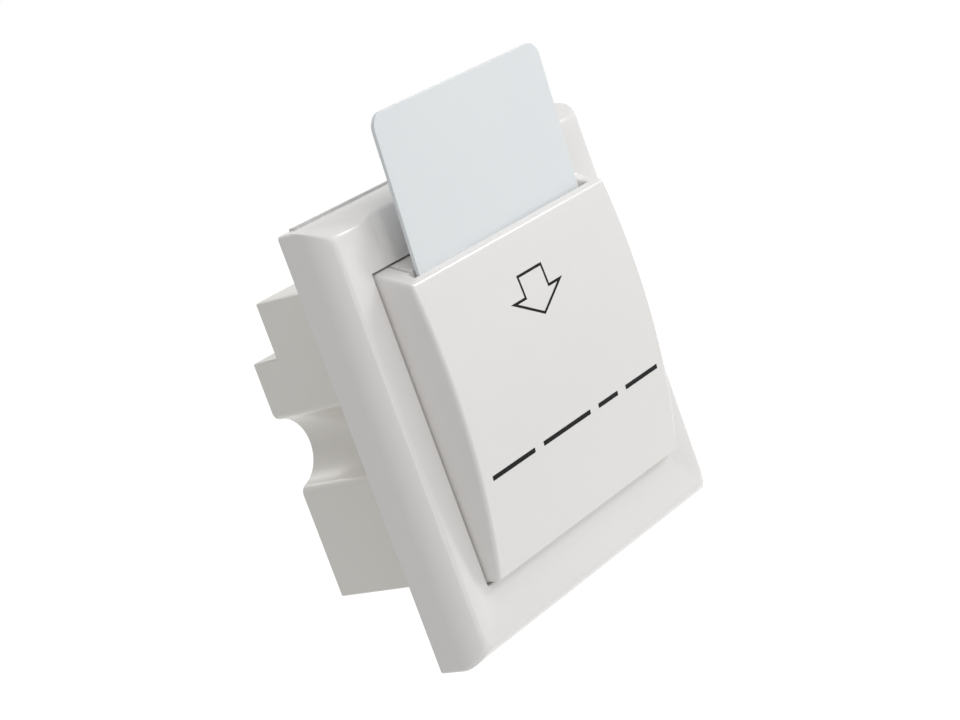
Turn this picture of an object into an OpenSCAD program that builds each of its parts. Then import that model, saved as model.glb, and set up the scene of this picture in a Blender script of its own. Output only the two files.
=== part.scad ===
// Hotel key card switch for a square flush wall box, in millimetres.
// X runs to the right, Y into the wall and Z up. The origin is the middle of the face on the wall.
// Every depth is a distance in front of the wall, so depths behind the wall are negative.

/* [Wall plate] */
// Width and height of the square plate
plate_w = 86; // [85:0.5:88]
// Depth of the rim's crest
crest_d = 10.6; // [10.4:0.1:10.9]
// Depth of the flat floor inside the rim
floor_d = 9.6; // [9.4:0.1:9.8]
// Depth where the sides and the bottom start to roll over
side_d = 5.3; // [5:0.1:5.6]
// Radius of that roll
side_r = 6; // [6:0.1:7]
// Depth where the top starts to roll over
top_d = 1.8; // [1.8:0.1:2.4]
// Radius of that longer roll
top_r = 14; // [13:0.5:16]
// Radius of the rim's crest
crest_r = 1.4; // [1:0.1:1.6]
// Thickness of the skirt around the hollow back
skirt_t = 3.5; // [3.3:0.1:3.8]

/* [Card pocket] */
// Width of the pocket
pocket_w = 65.3; // [65:0.1:66]
// Height of the pocket's top edge above the plate's middle
pocket_up = 30.4; // [30:0.1:30.8]
// Height of the pocket's bottom edge below the plate's middle
pocket_down = 30.3; // [30:0.1:30.8]
// Depth of the pocket's front at its fullest point
belly_d = 18; // [17.8:0.1:18.4]
// Height of that fullest point above the plate's middle
belly_z = 10; // [9:0.5:11]
// Radius of the pocket's curved front
front_r = 146; // [138:1:155]
// Downward slope of the pocket's top face, in degrees
top_slope = 24.4; // [22:0.2:26]
// Radius of the pocket's top and bottom front edges
pocket_edge_r = 1; // [0.6:0.1:1.4]
// Thickness of the pocket's floor under the card
pocket_floor = 2.3; // [2:0.1:2.5]

/* [Key card] */
// Width of the card
card_w = 54; // [53.9:0.05:54.1]
// Length of the card
card_h = 85.6; // [85.5:0.05:85.7]
// Thickness of the card
card_t = 0.8; // [0.7:0.02:0.84]
// Corner radius of the card
card_corner_r = 3.18; // [2.9:0.02:3.5]
// Depth of the card's middle at the height of the plate's middle
card_d = 12.65; // [12.5:0.05:12.8]
// Forward lean of the card, in degrees
card_lean = 3.72; // [3.5:0.02:3.9]

/* [Rear housing] */
// Width and height of the housing
housing_w = 60; // [59.6:0.1:61]
// How far the housing reaches behind the wall
housing_depth = 29.8; // [29:0.2:32]
// Height of the shallower terminal step at the top
step_h = 11.2; // [11:0.1:11.6]
// How much shallower that step is
step_depth = 6.3; // [6:0.1:6.5]
// Thickness of the housing's walls
wall = 2; // [1.8:0.1:2.1]
// Radius of the screw channels in the housing's sides
channel_r = 7; // [6.5:0.1:7.2]

/* [Wall fixing] */
// Distance between the two fixing slots
fixing_pitch = 60.3; // [60:0.1:60.6]
// Width of a fixing slot
slot_w = 4.5; // [4.2:0.1:5]
// Length of a fixing slot
slot_l = 8; // [7:0.5:9]
// Thickness of the mounting frame
frame_t = 1.5; // [1.3:0.1:1.5]

/* [Electrics] */
// Number of terminals
terminal_count = 4; // [3:1:4]
// Thickness of the circuit board
board_t = 1.6; // [1.2:0.1:1.8]

/* [Hidden] */
$fn = 96;

// Clearances shared by pieces that meet
gap = 0.3;
seam = 0.35;
screw_gap = 0.15;
cover_gap = 0.1;
// Room left past a face by a cutting shape
cut = 1;

// Rolled rim: on each side a long arc runs into a tight crest arc.
// A roll is given as [depth where it starts, radius].
plate_half = plate_w / 2;
side_roll = [side_d, side_r];
top_roll = [top_d, top_r];
function roll_turn(roll) = asin((crest_d - roll[0] - crest_r) / (roll[1] - crest_r));
function crest_inset(roll) = roll[1] - (roll[1] - crest_r) * cos(roll_turn(roll));
crest_half = plate_half - max(crest_inset(side_roll), crest_inset(top_roll));
corner_trim = 0.2;
corner_reach = plate_half * sqrt(2) - corner_trim;
corner_bend_r = 6.5;

// Hollow back of the plate, and the sunk seat of the pocket
plate_t = 2.6;
seat_sink = 1;
cavity_w = plate_w - 2 * skirt_t;
cavity_d = floor_d - plate_t;
cavity_corner_r = 3;
seat_d = floor_d - seat_sink;
// Notch in the bottom edge for prying the plate off
notch_half = 4;
notch_d = 3.5;
notch_rise = 1.6;
// How far the frame's lips stand out past the plate, and the frame's stiffening wall
strip_out = 0.4;
stiffener_d = 4.5;
stiffener_t = 1.4;
stiffener_inset = 2.25;
// Tongues of the frame, each with a barb between two depths, and the room around a barb in the skirt
tongue_half = 5;
tongue_t = 1.5;
tongue_d = 5.4;
barb_out = 0.7;
barb_d = [3.7, 4.9];
catch_room = 0.5;
dish_room = 0.1;
dish_half = pocket_w / 2 + seam + dish_room;

// Card plane, pocket channel and slot
slot_room = 0.6;
mouth_room = 0.2;
channel_room = 0.7;
card_seat = 0.05;
mouth_drop = 2.4;
slot_half = card_w / 2 + slot_room;
channel_floor = pocket_floor - pocket_down;
card_low = channel_floor + card_seat;
mouth_z = pocket_up - mouth_drop;
mouth_d = card_d + mouth_z * tan(card_lean) + card_t / 2 + mouth_room;
channel_low_d = card_d + channel_floor * tan(card_lean) + card_t / 2 + channel_room;
// Inner wall of the channel: its front at the top and at the floor, its guide ribs and its play
back_top_d = floor_d + 1.3;
back_low_d = floor_d + 0.3;
back_gap = 0.2;
rib_t = 0.5;
rib_w = 1.6;
rib_x = card_w / 3;
// Lip behind the card at the mouth of the slot, and the flare of the slot's ends there
lip_h = 2;
lip_gap = 0.5;
lip_d = card_d + (mouth_z - lip_h) * tan(card_lean) - card_t / 2 - lip_gap;
flare_w = 1.3;
flare_h = 4;

// Switch and its lever, below the middle of the pocket
board_d = -3.4;
switch_half = 2.9;
switch_room = 0.8;
switch_top = channel_floor + 18;
switch_low = switch_top - 12.8;
switch_front_d = board_d + 6.5;
eye_r = 1;
ear_r = 1.3;
pin_r = 0.6;
turning_gap = 0.1;
pin_gap = 0.05;
pivot = [switch_front_d + eye_r + turning_gap, switch_top - 1.5];
lever_half = 2;
lever_t = 0.5;
lever_bend = [pivot[0] + 0.3, pivot[1] - 5];
tip_r = 0.6;
tip_z = pivot[1] - 13.9;
tip_gap = 0.15;
lever_tip = [card_d + tip_z * tan(card_lean) - card_t / 2 - tip_r - tip_gap, tip_z];
plunger_z = pivot[1] - 3.5;
plunger_r = 0.9;
plunger_gap = 0.08;
plunger_stroke = 1;
plunger_reach = 2;
window_half = 3;
window_top = channel_floor + 11;
window_low = channel_floor + 0.8;

// Screw heads as [radius, thickness], the cross in them and the room past a screw's tip
pocket_head = [2.3, 1.5];
housing_head = [2.5, 1.6];
board_head = [2.2, 1.5];
clamp_head = [2.5, 2];
cross_w = 0.6;
tip_room = 0.4;
// Shafts of the screws, pegs that place the pocket's back, holes for wires and screwdrivers
pocket_screw_r = 1.1;
pocket_screw_reach = 4;
housing_screw_r = 1.25;
housing_screw_reach = 10;
board_screw_r = 1.2;
board_screw_reach = 6;
clamp_screw_r = 1.5;
peg_r = 1.5;
peg_reach = 1.2;
wire_hole_r = 2.2;
driver_hole_r = 2.6;

// Board and what stands on it, laid out in shares of the housing: one unit is a millimetre at 60 wide
unit = housing_w / 60;
board_back_d = board_d - board_t;
board_room = 0.6;
board_half = housing_w / 2 - wall - board_room;
pillar_at = housing_w / 2 - 4.5;
pillar_r = 3.2;
channel_lip_r = 1.8;
boss_r = 2.75;
boss_spots = unit * [[-24.3, 13.3], [24.3, -13.3]];
corner_spots = [for (x = [-1, 1], z = [-1, 1]) [x * pillar_at, z * pillar_at]];
fixing_spots = [[-fixing_pitch / 2, 0], [fixing_pitch / 2, 0]];
pocket_screw_at = [(slot_half + pocket_w / 2) / 2, 2 / 3 * pocket_down];
pocket_screw_spots = [for (x = [-1, 1], z = [-1, 1]) [x * pocket_screw_at[0], z * pocket_screw_at[1]]];
peg_spots = [for (x = [-1, 1]) [x * card_w * 0.37, channel_floor + 20]];
tongue_heights = [-plate_w / 4, plate_w / 4];
terminal_pitch = 9.5 * unit;
terminal_z = 22.4 * unit;
terminal_xs = [for (i = [0:terminal_count - 1]) (i - (terminal_count - 1) / 2) * terminal_pitch];
terminal_top_d = board_back_d - 15.7;
wire_d = board_back_d - 6.6;
// Brass cages: half width, half depth, heights below and above the screw's middle, walls and play
clamp_half = 3.2 * unit;
clamp_deep = 3.8;
clamp_low = -2.9 * unit;
clamp_high = 4 * unit;
clamp_side_t = 0.9 * unit;
clamp_end_t = 1.2;
clamp_room = 0.3;
clamp_room_d = 0.4;
clamp_screw_up = 3.1;
clamp_screw_stop = 2.5;
well_room = 0.25;
// Pins of the parts on the board
pin_drop = 1;
thin_pin_r = 0.35;
thick_pin_r = 0.6;

// Middles of the parts on the board and the places of their pins
relay_mid = unit * [-6.7, -10.5];
film_mid = unit * [13.8, -12.5];
storage_mid = unit * [14, 8];
bridge_mid = unit * [0.5, 10.8];
fuse_mid = unit * [-13, 10.8];
varistor_mid = unit * [15, -25];
chip_mid = unit * [-23.9, -16];
transistor_mid = unit * [22, 10];
resistor_z = -(boss_spots[0][1] + boss_r + pillar_at - pillar_r) / 2;
resistor_mids = [for (x = [19.8, 22.6, 25.4]) [x * unit, resistor_z]];
resistor_leg = 2 * unit;
function around(middle, spots) = [for (spot = spots) middle + unit * spot];
relay_pins = around(relay_mid, [[-9, -14], [9, -14], [0, 12], [-9, 8], [9, 8]]);
film_pins = around(film_mid, [[0, -7.5], [0, 7.5]]);
storage_pins = around(storage_mid, [[-2.5, 0], [2.5, 0]]);
bridge_pins = around(bridge_mid, [for (x = [-2.5, 2.5], z = [-2.2, 2.2]) [x, z]]);
fuse_pins = around(fuse_mid, [[-2.5, 0], [2.5, 0]]);
varistor_pins = around(varistor_mid, [[-3.75, 0], [3.75, 0]]);
chip_pins = around(chip_mid, [for (x = [-2.4, 2.4], i = [0:3]) [x, (i - 1.5) * 2.54]]);
transistor_pins = around(transistor_mid, [[-1.27, 0], [0, 0], [1.27, 0]]);
resistor_pins = [for (middle = resistor_mids, z = [-1, 1]) middle + [0, z * resistor_leg]];
terminal_pins = [for (x = terminal_xs) [x, terminal_z]];
thin_pins = concat(film_pins, storage_pins, bridge_pins, fuse_pins, varistor_pins, chip_pins,
    transistor_pins, resistor_pins);
thick_pins = concat(relay_pins, terminal_pins);

// Colours
white = [0.93, 0.93, 0.92];
card_white = [0.87, 0.9, 0.91];
steel = [0.72, 0.73, 0.75];
brass = [0.8, 0.66, 0.36];
board_green = [0.1, 0.36, 0.2];
black = [0.09, 0.09, 0.1];

// Shapes drawn on the plate (x, z), pulled from depth d0 to depth d1
module slab(d0, d1) {
    rotate([90, 0, 0])
        translate([0, 0, d0])
            linear_extrude(d1 - d0)
                children();
}

// Side sections (depth, z), pulled w wide across the middle
module across(w) {
    rotate([90, 0, -90])
        translate([0, 0, -w / 2])
            linear_extrude(w)
                children();
}

// Top sections (x, depth), pulled from height z0 to height z1
module upright(z0, z1) {
    rotate([180, 0, 0])
        translate([0, 0, -z1])
            linear_extrude(z1 - z0)
                children();
}

// Round bar along the depth, from d0 to d1, on a point of the plate
module rod(spot, d0, d1, r) {
    translate([spot[0], -d0, spot[1]])
        rotate([90, 0, 0])
            cylinder(h = d1 - d0, r = r);
}

// Box between two opposite corners given as [x, depth, z]
module block(low, high) {
    translate([low[0], -high[1], low[2]])
        cube([high[0] - low[0], high[1] - low[1], high[2] - low[2]]);
}

// Rectangle with round corners around the middle
module round_rect(w, h, r) {
    square([w - 2 * r, h], center = true);
    square([w, h - 2 * r], center = true);
    for (x = [-1, 1], z = [-1, 1])
        translate([x * (w / 2 - r), z * (h / 2 - r)])
            circle(r);
}

// Slot with round ends along x
module long_hole(w, l) {
    square([l - w, w], center = true);
    for (x = [-1, 1])
        translate([x * (l - w) / 2, 0])
            circle(w / 2);
}

// Self-tapping screw: pan head with a cross, head underside at depth d, shaft towards end_d
module tapping_screw(spot, d, end_d, shaft_r, head) {
    head_r = head[0];
    head_t = head[1];
    out = end_d < d ? 1 : -1;
    top = d + out * head_t;
    difference() {
        union() {
            rod(spot, min(d, end_d), max(d, end_d), shaft_r);
            rod(spot, min(d, top), max(d, top), head_r);
        }
        translate([spot[0], -top, spot[1]]) {
            cube([head_r * 1.1, head_t, cross_w], center = true);
            cube([cross_w, head_t, head_r * 1.1], center = true);
        }
    }
}

// Outer section of the rim (x, depth), rolled over on its left and on its right
module rolled_section(left, right) {
    difference() {
        translate([-plate_half, 0])
            square([plate_w, crest_d]);
        roll_waste(-1, left);
        roll_waste(1, right);
    }
}

// What the long arc and the crest arc take off one side (-1 or 1) of that section
module roll_waste(side, roll) {
    turn = roll_turn(roll);
    meeting = [side * cos(turn), sin(turn)];
    arc_waste([side * (plate_half - roll[1]), roll[0]], roll[1], [side, 0], meeting);
    arc_waste([side * (plate_half - crest_inset(roll)), crest_d - crest_r], crest_r, meeting, [0, 1]);
}

// Wedge between two directions from a middle, outside the circle around that middle
module arc_waste(middle, r, from, to) {
    difference() {
        translate(middle)
            polygon(2 * r * [[0, 0], from, from + to, to]);
        translate(middle)
            circle(r);
    }
}

// Turned limit that softens the four mitred corners towards the crest
module corner_barrel() {
    start_d = crest_d - corner_bend_r;
    rotate([90, 0, 0])
        rotate_extrude() {
            square([corner_reach - corner_bend_r, crest_d]);
            square([corner_reach, start_d]);
            translate([corner_reach - corner_bend_r, start_d])
                intersection() {
                    circle(corner_bend_r);
                    square(corner_bend_r);
                }
        }
}

// Cutting section (x, depth) with sloping sides, from half width a at the floor to b at the crest
module sloping_section(a, b) {
    slope = (b - a) / (crest_d - floor_d);
    over = b + slope * cut;
    polygon([[-a, floor_d], [a, floor_d], [over, crest_d + cut], [-over, crest_d + cut]]);
}

// Wall plate: rolled rim, sunk floor, card recess at the top and hollow back
module front_plate() {
    recess_half = slot_half + 0.4;
    recess_top_half = dish_half - 0.6;
    color(white)
        difference() {
            intersection() {
                upright(-plate_w, plate_w)
                    rolled_section(side_roll, side_roll);
                rotate([0, 90, 0])
                    upright(-plate_w, plate_w)
                        rolled_section(top_roll, side_roll);
                corner_barrel();
            }
            intersection() {
                upright(-plate_half, plate_half)
                    sloping_section(dish_half, crest_half);
                rotate([0, 90, 0])
                    upright(-plate_half, plate_half)
                        sloping_section(dish_half, crest_half);
            }
            upright(0, plate_w)
                sloping_section(recess_half, recess_top_half);
            slab(seat_d, crest_d)
                translate([0, (pocket_up - pocket_down) / 2])
                    square([pocket_w + 2 * seam, pocket_up + pocket_down + 2 * seam], center = true);
            slab(-cut, gap)
                square(2 * plate_w, center = true);
            slab(0, cavity_d)
                round_rect(cavity_w, cavity_w, cavity_corner_r);
            slab(0, frame_t + gap)
                square([cavity_w, 2 * plate_w], center = true);
            block([-window_half, 0, window_low], [window_half, crest_d, window_top]);
            for (spot = pocket_screw_spots)
                rod(spot, 0, crest_d, pocket_screw_r + screw_gap);
            for (spot = peg_spots)
                rod(spot, 0, crest_d, peg_r + screw_gap);
            snap_catches();
            block([-notch_half, 0, -plate_w], [notch_half, notch_d, notch_rise - plate_half]);
        }
}

// Pockets in the skirt that take the frame's barbs
module snap_catches() {
    reach = barb_out - gap + catch_room;
    half = tongue_half + catch_room;
    for (side = [-1, 1], z = tongue_heights)
        translate([side * cavity_w / 2, 0, z])
            block([-reach, barb_d[0] - gap, -half], [reach, barb_d[1] + gap, half]);
}

// Frame on the wall: lips at top and bottom, fixing slots, stiffening wall and snap tongues
module mounting_frame() {
    inner_w = cavity_w - 2 * gap;
    ring_w = inner_w - 2 * stiffener_inset;
    color(white)
        difference() {
            union() {
                slab(0, frame_t)
                    round_rect(inner_w, inner_w, cavity_corner_r);
                slab(0, frame_t)
                    square([inner_w, plate_w + 2 * strip_out], center = true);
                slab(0, stiffener_d)
                    difference() {
                        square(ring_w, center = true);
                        square(ring_w - 2 * stiffener_t, center = true);
                    }
                for (side = [-1, 1], z = tongue_heights)
                    snap_tongue(side, z, inner_w / 2);
            }
            for (spot = fixing_spots)
                translate([spot[0], 0, spot[1]])
                    slab(-cut, frame_t + cut)
                        long_hole(slot_w, slot_l);
            for (spot = corner_spots)
                rod(spot, -cut, frame_t + cut, housing_screw_r + screw_gap);
            block([-switch_half - switch_room, -cut, switch_low - switch_room],
                [switch_half + switch_room, frame_t + cut, switch_top + switch_room]);
        }
}

// Upright tongue with a barb that reaches into the skirt
module snap_tongue(side, z, outer) {
    face = side * outer;
    inside = side * (outer - tongue_t);
    barb = side * (outer + barb_out);
    low_z = z - tongue_half;
    high_z = z + tongue_half;
    block([min(face, inside), 0, low_z], [max(face, inside), tongue_d, high_z]);
    block([min(face, barb), barb_d[0], low_z], [max(face, barb), barb_d[1], high_z]);
}

// Middle of a small circle that touches a line from inside and the pocket's curved front
function edge_middle(start, along, inward, r) =
    let (w = start + r * inward - [belly_d - front_r, belly_z])
    let (b = w * along)
    start + r * inward + along * (sqrt(b * b - w * w + pow(front_r - r, 2)) - b);

// Sharp edge left over outside such a circle
module edge_waste(start, along, inward, r) {
    middle = edge_middle(start, along, inward, r);
    out = middle - [belly_d - front_r, belly_z];
    arc_waste(middle, r, -inward, out / norm(out));
}

// Side section of the pocket (depth, z): sloping top, curved front and round edges
module pocket_section() {
    along_top = [cos(top_slope), -sin(top_slope)];
    inward_top = [-sin(top_slope), -cos(top_slope)];
    top_start = [floor_d, pocket_up];
    low_start = [seat_d, -pocket_down];
    difference() {
        intersection() {
            translate([belly_d - front_r, belly_z])
                circle(front_r, $fn = 360);
            polygon([low_start, [2 * belly_d, -pocket_down], top_start + 2 * belly_d * along_top,
                top_start, [seat_d, pocket_up]]);
        }
        edge_waste(top_start, along_top, inward_top, pocket_edge_r);
        edge_waste(low_start, [1, 0], [0, 1], pocket_edge_r);
    }
}

// Space for the card (depth, z), from the back of the pocket to the front of the channel
module channel_section() {
    rise = (mouth_d - channel_low_d) / (mouth_z - channel_floor);
    over_z = pocket_up + 5;
    polygon([[seat_d - cut, channel_floor], [channel_low_d, channel_floor],
        [channel_low_d + rise * (over_z - channel_floor), over_z], [seat_d - cut, over_z]]);
}

// Pocket that stands out from the plate
module pocket_cover() {
    color(white)
        difference() {
            across(pocket_w)
                pocket_section();
            across(2 * slot_half)
                channel_section();
            slot_flare();
            for (spot = pocket_screw_spots)
                rod(spot, 0, seat_d + pocket_screw_reach + tip_room, pocket_screw_r + screw_gap);
        }
}

// Wedges that lead the card into the slot at both ends, in front of the lip
module slot_flare() {
    low_z = mouth_z - flare_h;
    high_z = mouth_z + flare_h;
    intersection() {
        across(pocket_w)
            channel_section();
        slab(lip_d, 2 * belly_d)
            polygon([[-slot_half, low_z], [slot_half, low_z], [slot_half + 2 * flare_w, high_z],
                [-slot_half - 2 * flare_w, high_z]]);
    }
}

// Inner wall of the card channel, with guide ribs, a lip at the mouth and a window for the switch lever
module pocket_back() {
    color(white)
        difference() {
            union() {
                across(2 * (slot_half - back_gap)) {
                    back_section(0);
                    lip_section();
                }
                for (x = [-rib_x, rib_x])
                    translate([x, 0, 0])
                        across(rib_w)
                            back_section(rib_t);
                for (spot = peg_spots)
                    rod(spot, seat_d - peg_reach, back_low_d, peg_r);
            }
            block([-window_half, 0, window_low], [window_half, belly_d, window_top]);
        }
}

// Side section of that wall (depth, z), made thicker by a rib that stands out and ends below the top
module back_section(out) {
    low_z = channel_floor + back_gap;
    intersection() {
        pocket_section();
        polygon([[seat_d, low_z], [back_low_d + out, low_z], [back_top_d + out, pocket_up - 4 * out],
            [back_top_d, pocket_up - 3 * out], [back_top_d, pocket_up], [seat_d, pocket_up]]);
    }
}

// Lip at the top of that wall (depth, z), sloping back under its front edge
module lip_section() {
    low_z = mouth_z - lip_h;
    intersection() {
        pocket_section();
        polygon([[seat_d, low_z - lip_d + seat_d], [lip_d, low_z], [lip_d, pocket_up], [seat_d, pocket_up]]);
    }
}

// Screws from inside the plate into the pocket's side walls
module pocket_screws() {
    color(steel)
        for (spot = pocket_screw_spots)
            tapping_screw(spot, cavity_d, seat_d + pocket_screw_reach, pocket_screw_r, pocket_head);
}

// Plain card, leaning with the pocket
module key_card() {
    middle_z = card_low + card_h * cos(card_lean) / 2;
    color(card_white)
        translate([0, -card_d - middle_z * tan(card_lean), middle_z])
            rotate([card_lean, 0, 0])
                slab(-card_t / 2, card_t / 2)
                    round_rect(card_w, card_h, card_corner_r);
}

// Side section of the housing (depth, z) up to a front depth, shrunk by a margin for its inside
module housing_section(margin, front) {
    half = housing_w / 2 - margin;
    back = margin - housing_depth;
    step_z = housing_w / 2 - step_h - margin;
    polygon([[front, -half], [back, -half], [back, step_z], [back + step_depth, step_z],
        [back + step_depth, half], [front, half]]);
}

// Space of the cover over the terminals, from ledges in the side walls up to the housing's top
module cover_space(margin) {
    half = (housing_w - wall) / 2 - margin;
    back = step_depth - housing_depth;
    block([-half, back, housing_w / 2 - wall + margin], [half, margin == 0 ? cut : 0, housing_w / 2]);
}

// Box behind the wall with screw channels, corner pillars, board bosses and screwdriver holes
module rear_housing() {
    color(white)
        difference() {
            across(housing_w)
                housing_section(0, 0);
            difference() {
                across(housing_w - 2 * wall)
                    housing_section(wall, cut);
                for (spot = fixing_spots)
                    rod(spot, -housing_depth, cut, channel_r + wall);
                for (spot = corner_spots)
                    rod(spot, -housing_depth, cut, pillar_r);
                for (spot = boss_spots)
                    rod(spot, -housing_depth, board_back_d, boss_r);
            }
            for (spot = fixing_spots)
                rod(spot, -housing_depth - cut, cut, channel_r);
            slab(-housing_depth - cut, cut)
                channel_lips();
            for (spot = corner_spots)
                rod(spot, -housing_screw_reach - tip_room, cut, housing_screw_r + screw_gap);
            for (spot = boss_spots)
                rod(spot, board_back_d - board_screw_reach - tip_room, cut, board_screw_r + screw_gap);
            for (x = terminal_xs)
                rod([x, terminal_z], -housing_depth - cut, step_depth - housing_depth + wall + cut,
                    driver_hole_r);
            cover_space(0);
        }
}

// Sharp edges (x, z) that rounding takes off where the screw channels break through the sides
module channel_lips() {
    middle_x = housing_w / 2 - channel_lip_r;
    middle_z = sqrt(pow(channel_r + channel_lip_r, 2) - pow(fixing_pitch / 2 - middle_x, 2));
    for (x = [-1, 1], z = [-1, 1]) {
        middle = [x * middle_x, z * middle_z];
        to_channel = [x * fixing_pitch / 2, 0] - middle;
        arc_waste(middle, channel_lip_r, to_channel / norm(to_channel), [x, 0]);
    }
}

// Cover over the terminals, with a hole for each wire
module terminal_cover() {
    color(white)
        difference() {
            cover_space(cover_gap);
            for (x = terminal_xs)
                translate([x, -wire_d, housing_w / 2 - wall - cut])
                    cylinder(h = wall + 2 * cut, r = wire_hole_r);
        }
}

// Screws through the frame into the housing's pillars
module housing_screws() {
    color(steel)
        for (spot = corner_spots)
            tapping_screw(spot, frame_t, -housing_screw_reach, housing_screw_r, housing_head);
}

// Circuit board with notches for the channels and the pillars, and a hole for each pin
module pcb() {
    color(board_green)
        difference() {
            slab(board_back_d, board_d)
                square(2 * board_half, center = true);
            for (spot = fixing_spots)
                rod(spot, board_back_d - cut, cut, channel_r + wall + board_room);
            for (spot = corner_spots)
                rod(spot, board_back_d - cut, cut, pillar_r + board_room);
            for (spot = boss_spots)
                rod(spot, board_back_d - cut, cut, board_screw_r + screw_gap);
            for (spot = thin_pins)
                rod(spot, board_back_d - cut, cut, thin_pin_r + screw_gap);
            for (spot = thick_pins)
                rod(spot, board_back_d - cut, cut, thick_pin_r + screw_gap);
        }
}

// Screws through the board into its bosses
module pcb_screws() {
    color(steel)
        for (spot = boss_spots)
            tapping_screw(spot, board_d, board_back_d - board_screw_reach, board_screw_r, board_head);
}

// Pins that run from a part on the back of the board through to its front
module pins(spots, r, from_d) {
    for (spot = spots)
        rod(spot, from_d, board_d + pin_drop, r);
}

// Switch body with a well for the plunger and two ears for the lever's pin
module microswitch() {
    ear = switch_half - lever_half - 2 * turning_gap;
    color(black)
        difference() {
            union() {
                block([-switch_half, board_d, switch_low], [switch_half, switch_front_d, switch_top]);
                for (side = [-1, 1])
                    translate([side * (switch_half - ear / 2), 0, 0])
                        across(ear)
                            ear_section();
            }
            rod([0, plunger_z], switch_front_d - plunger_reach - plunger_stroke, switch_front_d + cut,
                plunger_r + plunger_gap);
            translate([0, -pivot[0], pivot[1]])
                rotate([0, 90, 0])
                    cylinder(h = 3 * switch_half, r = pin_r + pin_gap, center = true);
        }
}

// Ear around the pin (depth, z), down to the switch body
module ear_section() {
    translate(pivot)
        circle(ear_r);
    translate([switch_front_d - cut, pivot[1] - ear_r])
        square([pivot[0] - switch_front_d + cut, 2 * ear_r]);
}

// Pin across the ears
module lever_pin() {
    color(steel)
        translate([0, -pivot[0], pivot[1]])
            rotate([0, 90, 0])
                cylinder(h = 2 * switch_half, r = pin_r, center = true);
}

// Strip between two points (depth, z), lever_t thick
module strip(a, b) {
    turn = atan2(b[1] - a[1], b[0] - a[0]);
    translate(a)
        rotate(turn)
            translate([0, -lever_t / 2])
                square([norm(b - a), lever_t]);
    for (p = [a, b])
        translate(p)
            circle(lever_t / 2);
}

// Bent lever with an eye on the pin and a rounded tip for the card
module switch_lever() {
    color(steel)
        across(2 * lever_half)
            difference() {
                union() {
                    translate(pivot)
                        circle(eye_r);
                    strip([lever_bend[0], pivot[1]], lever_bend);
                    strip(lever_bend, lever_tip);
                    translate(lever_tip)
                        circle(tip_r);
                }
                translate(pivot)
                    circle(pin_r + pin_gap);
            }
}

// Button between the switch and its lever
module switch_plunger() {
    lever_back_d = lever_bend[0] - lever_t / 2;
    color(white)
        rod([0, plunger_z], switch_front_d - plunger_reach, lever_back_d - turning_gap, plunger_r);
}

// Sealed relay with a base flange
module relay() {
    case = unit * [26.7, 31.2];
    case_h = 20;
    corner_r = 1;
    flange_h = 2;
    flange_out = 0.3 * unit;
    color(black) {
        translate([relay_mid[0], 0, relay_mid[1]]) {
            slab(board_back_d - case_h, board_back_d - flange_h)
                round_rect(case[0], case[1], corner_r);
            slab(board_back_d - flange_h, board_back_d)
                square(case + 2 * [flange_out, flange_out], center = true);
        }
        pins(relay_pins, thick_pin_r, board_back_d - cut);
    }
}

// Terminal body: a chamber for each cage, open at the top, and a well for each screw
module terminal_block() {
    end_t = 0.5;
    half = terminal_count * terminal_pitch / 2 + end_t;
    block_half = 5 * unit;
    color(board_green)
        difference() {
            block([-half, terminal_top_d, terminal_z - block_half],
                [half, board_back_d, terminal_z + block_half]);
            for (x = terminal_xs) {
                cage_space(x, clamp_half + clamp_room * unit, clamp_deep + clamp_room_d,
                    clamp_low - clamp_room * unit, block_half + cut);
                rod([x, terminal_z], terminal_top_d - cut, wire_d, clamp_head[0] + well_room);
                rod([x, terminal_z], wire_d, board_back_d + cut, thick_pin_r + screw_gap);
            }
        }
}

// Upright space around a wire's way: half width, half depth, and heights from the screw's middle
module cage_space(x, half, deep, low, high) {
    block([x - half, wire_d - deep, terminal_z + low], [x + half, wire_d + deep, terminal_z + high]);
}

// Brass cages that grip the wires, each on its board pin
module terminal_clamps() {
    color(brass)
        for (x = terminal_xs) {
            difference() {
                cage_space(x, clamp_half, clamp_deep, clamp_low, clamp_high);
                cage_space(x, clamp_half - clamp_side_t, clamp_deep - clamp_end_t, clamp_low - cut,
                    clamp_high + cut);
                rod([x, terminal_z], wire_d - clamp_deep - cut, wire_d, clamp_screw_r + screw_gap);
            }
            rod([x, terminal_z], wire_d + clamp_deep - clamp_end_t / 2, board_d + pin_drop, thick_pin_r);
        }
}

// Clamping screws of the cages, backed off to let a wire in
module terminal_screws() {
    color(steel)
        for (x = terminal_xs)
            tapping_screw([x, terminal_z], wire_d - clamp_deep - clamp_screw_up, wire_d - clamp_screw_stop,
                clamp_screw_r, clamp_head);
}

// Box capacitor
module film_capacitor() {
    case = unit * [8.5, 18];
    case_h = 14.5;
    corner_r = 0.6;
    color([0.85, 0.7, 0.2]) {
        translate([film_mid[0], 0, film_mid[1]])
            slab(board_back_d - case_h, board_back_d)
                round_rect(case[0], case[1], corner_r);
        pins(film_pins, thin_pin_r, board_back_d - cut);
    }
}

// Round capacitor with a rolled groove near the board
module storage_capacitor() {
    can_r = 5 * unit;
    can_h = 16;
    neck_r = 4.5 * unit;
    neck_at = 1.8;
    neck_h = 0.8;
    color([0.15, 0.2, 0.35]) {
        rod(storage_mid, board_back_d - can_h, board_back_d - neck_at - neck_h, can_r);
        rod(storage_mid, board_back_d - can_h, board_back_d, neck_r);
        rod(storage_mid, board_back_d - neck_at, board_back_d, can_r);
        pins(storage_pins, thin_pin_r, board_back_d - cut);
    }
}

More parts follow.
